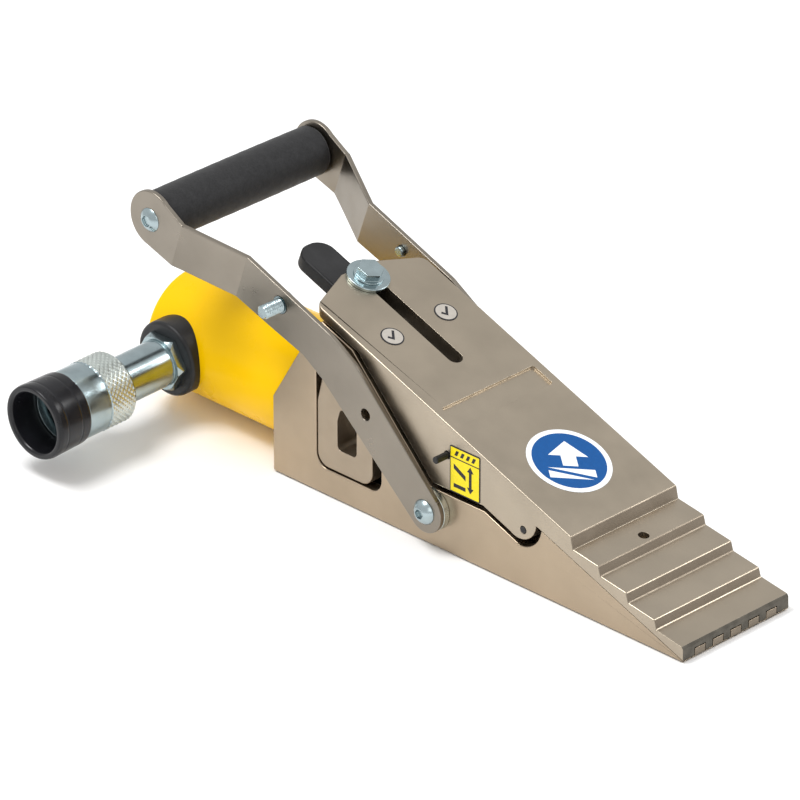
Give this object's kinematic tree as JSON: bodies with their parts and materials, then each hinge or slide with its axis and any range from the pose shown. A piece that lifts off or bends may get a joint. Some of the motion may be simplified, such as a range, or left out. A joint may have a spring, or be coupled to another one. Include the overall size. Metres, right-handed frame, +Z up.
{
  "type": "hydraulic lifting wedge",
  "caption": "Hydraulic vertical lifting wedge: a ram with a quick coupler pushes an inner wedge that lifts a stepped jaw over a low frame, with a swinging carrying handle.",
  "frame": {"origin": "centre of the lower frame's flat underside, midway along the frame and across it", "axes": "+X towards the lifting tip, +Z up from the underside, +Y to the side away from the hydraulic coupler"},
  "size_m": [0.4035, 0.2018, 0.1495],
  "materials": {
    "nickel_steel": "satin beige nickel plating",
    "handle_steel": "satin grey-beige nickel plating on bent sheet",
    "guide_steel": "satin nickel plating, a little darker",
    "yellow_paint": "glossy yellow paint",
    "zinc_steel": "bright zinc plating",
    "zinc_screws": "bright zinc plating",
    "bare_steel": "machined steel",
    "dark_steel": "dark phosphated steel",
    "black_steel": "black oxide, satin",
    "hard_chrome": "hard chrome",
    "spring_steel": "oiled spring steel",
    "bronze": "bearing bronze",
    "black_rubber": "satin black rubber",
    "guard_rubber": "smooth satin black rubber",
    "black_foam": "fine-pored black foam",
    "label_blue": null,
    "label_yellow": null,
    "label_grey": "printed film, grey"
  },
  "bodies": {
    "frame": {"lower_frame": "nickel_steel", "cylinder_body": "yellow_paint", "gland_bearing": "bronze", "rod_wiper": "black_rubber", "stop_ring": "bare_steel", "return_spring": "spring_steel", "port_seal_ring": "black_rubber", "coupler_body": "zinc_steel", "poppet_spring": "spring_steel", "pivot_bolts": "zinc_screws", "pivot_spacers": "zinc_steel"},
    "drive": {"drive_wedge": "bare_steel", "plunger": "hard_chrome", "piston_seal": "black_rubber", "plunger_saddle": "bare_steel", "plunger_screw": "dark_steel", "wedge_tail": "black_steel", "tail_screws": "dark_steel", "slot_bolt": "zinc_screws", "slot_washer": "zinc_screws"},
    "jaw": {"upper_jaw": "nickel_steel", "jaw_guide_left": "guide_steel", "jaw_guide_right": "guide_steel", "guide_screws": "dark_steel", "stop_pins": "black_steel", "lobe_pins": "black_steel", "info_label": "label_blue", "side_label": "label_yellow", "check_stickers": "label_grey"},
    "handle": {"handle_plate_left": "handle_steel", "handle_plate_right": "handle_steel", "grip_rod": "bare_steel", "grip_sleeve": "black_foam", "grip_screws": "zinc_screws", "strap_stud": "zinc_screws", "strap_screw": "zinc_screws"},
    "coupler_shell": {"coupler_collar": "zinc_steel", "coupler_guard_ring": "guard_rubber"},
    "poppet": {"coupler_poppet": "dark_steel"}
  },
  "joints": [
    {"name": "wedge_slide", "type": "slide", "parent": "frame", "child": "drive", "axis": [1, 0, 0], "range_m": [0, 0.054], "stiffness_N_per_m": 2000, "springref_m": -0.05, "deforming": ["return_spring"]},
    {"name": "jaw_lift", "type": "slide", "parent": "frame", "child": "jaw", "axis": [0, 0, 1], "range_m": [0, 0.02]},
    {"name": "handle_swing", "type": "hinge", "parent": "frame", "child": "handle", "pos_m": [-0.0293, 0, 0.0227], "axis": [0, 1, 0], "range_deg": [-13, 38]},
    {"name": "collar_spin", "type": "hinge", "parent": "frame", "child": "coupler_shell", "pos_m": [-0.233, 0, 0.0367], "axis": [0, -0.9996, -0.0279], "continuous": true},
    {"name": "poppet_press", "type": "slide", "parent": "frame", "child": "poppet", "axis": [0, 0.9996, 0.0279], "range_m": [0, 0.004], "stiffness_N_per_m": 2000, "springref_m": -0.003, "deforming": ["poppet_spring"]}
  ],
  "couplings": [
    {"joint": "jaw_lift", "follows": "wedge_slide", "ratio": 0.37037}
  ]
}
